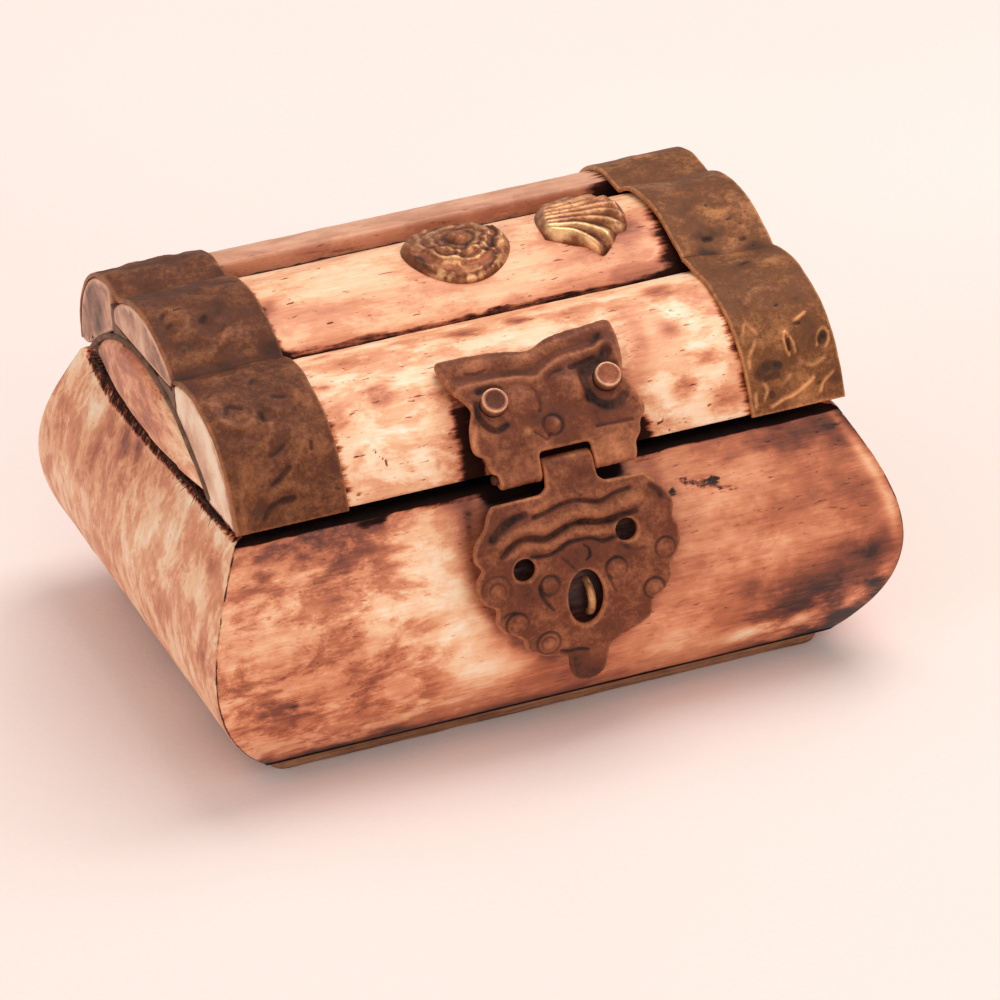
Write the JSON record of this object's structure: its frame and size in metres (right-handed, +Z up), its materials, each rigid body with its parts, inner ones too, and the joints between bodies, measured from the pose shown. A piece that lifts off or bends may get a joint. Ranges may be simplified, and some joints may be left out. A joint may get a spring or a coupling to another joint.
{
  "type": "jewelry box",
  "caption": "Small bone-clad trinket box with bowed sides, a hinged lid of domed staves with brass straps, and a hinged brass hasp over a staple.",
  "frame": {"origin": "centre of the base's underside, on the surface the box stands on", "axes": "+X along the length, to the right seen from the hasp side; -Y is the front with the hasp; +Z up"},
  "size_m": [0.0804, 0.0686, 0.047],
  "materials": {
    "bone": "polished, stained bone",
    "pale_bone": "polished pale bone",
    "wood": "dark stained, unpolished",
    "resin": "dull dark filler",
    "strap_brass": "tarnished brown, worn",
    "hasp_brass": "tarnished brown, worn",
    "gilt_brass": "worn bright on the high places",
    "copper_pins": "satin with bright rims",
    "velvet": "short pile"
  },
  "bodies": {
    "base": {"bottom_board": "wood", "front_wall": "wood", "rear_wall": "wood", "left_wall": "wood", "right_wall": "wood", "bone_front_panel": "bone", "bone_rear_panel": "bone", "bone_left_panel": "bone", "bone_right_panel": "bone", "floor_pad": "velvet", "wall_lining": "velvet", "hasp_staple": "hasp_brass", "left_hinge_base_leaf": "hasp_brass", "right_hinge_base_leaf": "hasp_brass", "left_hinge_pin": "hasp_brass", "right_hinge_pin": "hasp_brass", "base_hinge_nails": "copper_pins"},
    "lid": {"lid_board": "wood", "lid_core": "wood", "lid_pad": "velvet", "front_stave": "pale_bone", "top_stave": "pale_bone", "rear_stave": "pale_bone", "front_seam_filler": "resin", "rear_seam_filler": "resin", "left_gable": "pale_bone", "right_gable": "pale_bone", "left_strap": "strap_brass", "right_strap": "strap_brass", "left_strap_pins": "copper_pins", "right_strap_pins": "copper_pins", "flower_medallion": "gilt_brass", "shell_ornament": "gilt_brass", "hasp_upper_plate": "hasp_brass", "hasp_rivets": "copper_pins", "hasp_pin": "copper_pins", "left_hinge_lid_leaf": "hasp_brass", "right_hinge_lid_leaf": "hasp_brass", "lid_hinge_nails": "copper_pins"},
    "hasp": {"hasp_lower_plate": "hasp_brass"}
  },
  "joints": [
    {"name": "lid_hinge", "type": "hinge", "parent": "base", "child": "lid", "pos_m": [0, 0.026, 0.03125], "axis": [-1, 0, 0], "range_deg": [0, 100]},
    {"name": "hasp_hinge", "type": "hinge", "parent": "lid", "child": "hasp", "pos_m": [0, -0.03065, 0.0318], "axis": [-1, 0, 0], "range_deg": [0, 120]}
  ]
}
